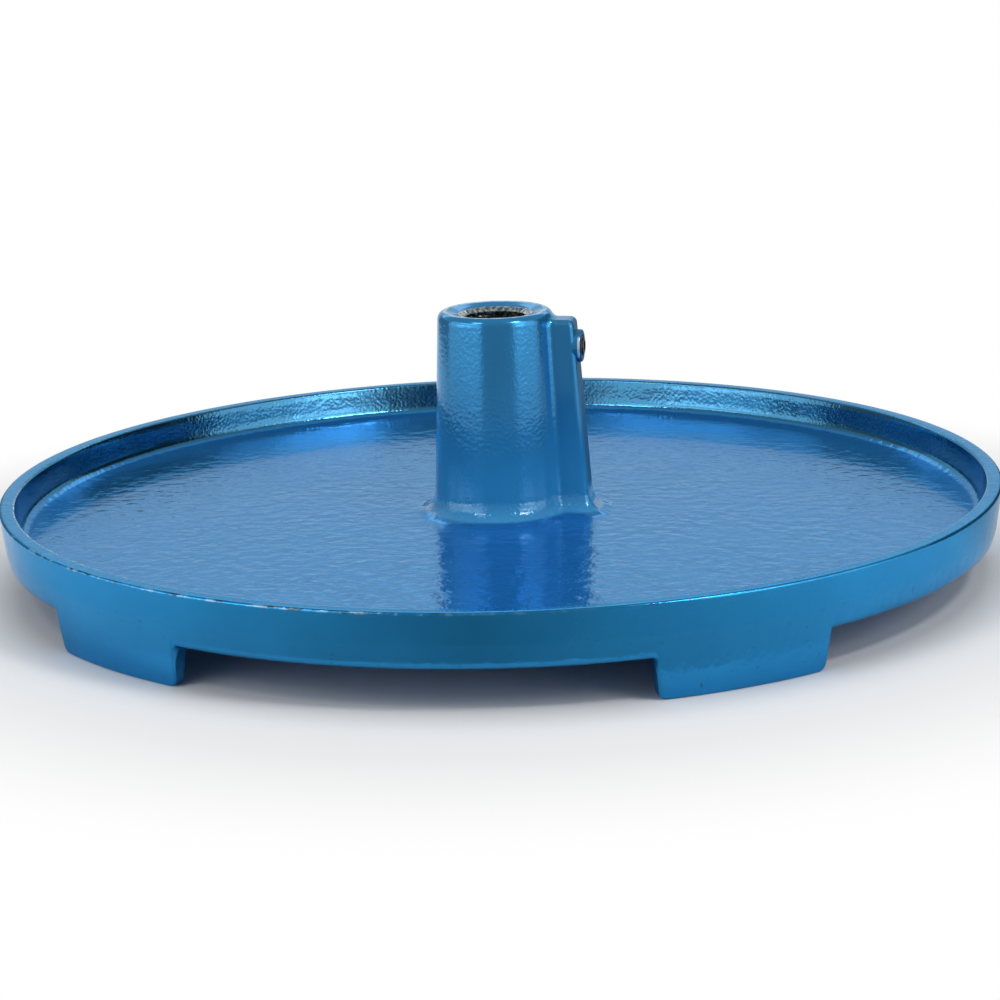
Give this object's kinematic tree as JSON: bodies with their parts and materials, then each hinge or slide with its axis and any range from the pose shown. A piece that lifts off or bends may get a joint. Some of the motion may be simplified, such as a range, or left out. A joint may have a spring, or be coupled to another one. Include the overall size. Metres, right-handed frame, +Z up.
{
  "type": "flexible shaft motor stand",
  "caption": "Round cast tool tray on arc-shaped feet, with an upright ribbed socket whose set screw clamps the motor's post.",
  "frame": {"origin": "centre of the tray on the surface that the feet stand on, under the socket's axis", "axes": "+Z up along the socket's axis, +X towards the socket's rib and its clamp screw"},
  "size_m": [0.3997, 0.3996, 0.1045],
  "materials": {
    "enamel": "glossy blue enamel over a rough sand-cast skin",
    "machined_steel": "bare steel, bored and faced, with fine turning marks",
    "black_steel": "black oxide, slightly oily",
    "brass": "turned, dull"
  },
  "bodies": {
    "stand": {"base_casting": "enamel", "socket_bush": "machined_steel"},
    "pad": {"thrust_pad": "brass"},
    "screw": {"clamp_screw": "black_steel"}
  },
  "joints": [
    {"name": "screw_travel", "type": "slide", "parent": "stand", "child": "pad", "axis": [1, 0, 0], "range_m": [-0.00425, 0.005]},
    {"name": "screw_turn", "type": "hinge", "parent": "pad", "child": "screw", "pos_m": [0.03, 0, 0.09], "axis": [1, 0, 0], "range_deg": [-1225, 1440]}
  ],
  "couplings": [
    {"joint": "screw_turn", "follows": "screw_travel", "rad_per_m": 5026.5}
  ]
}
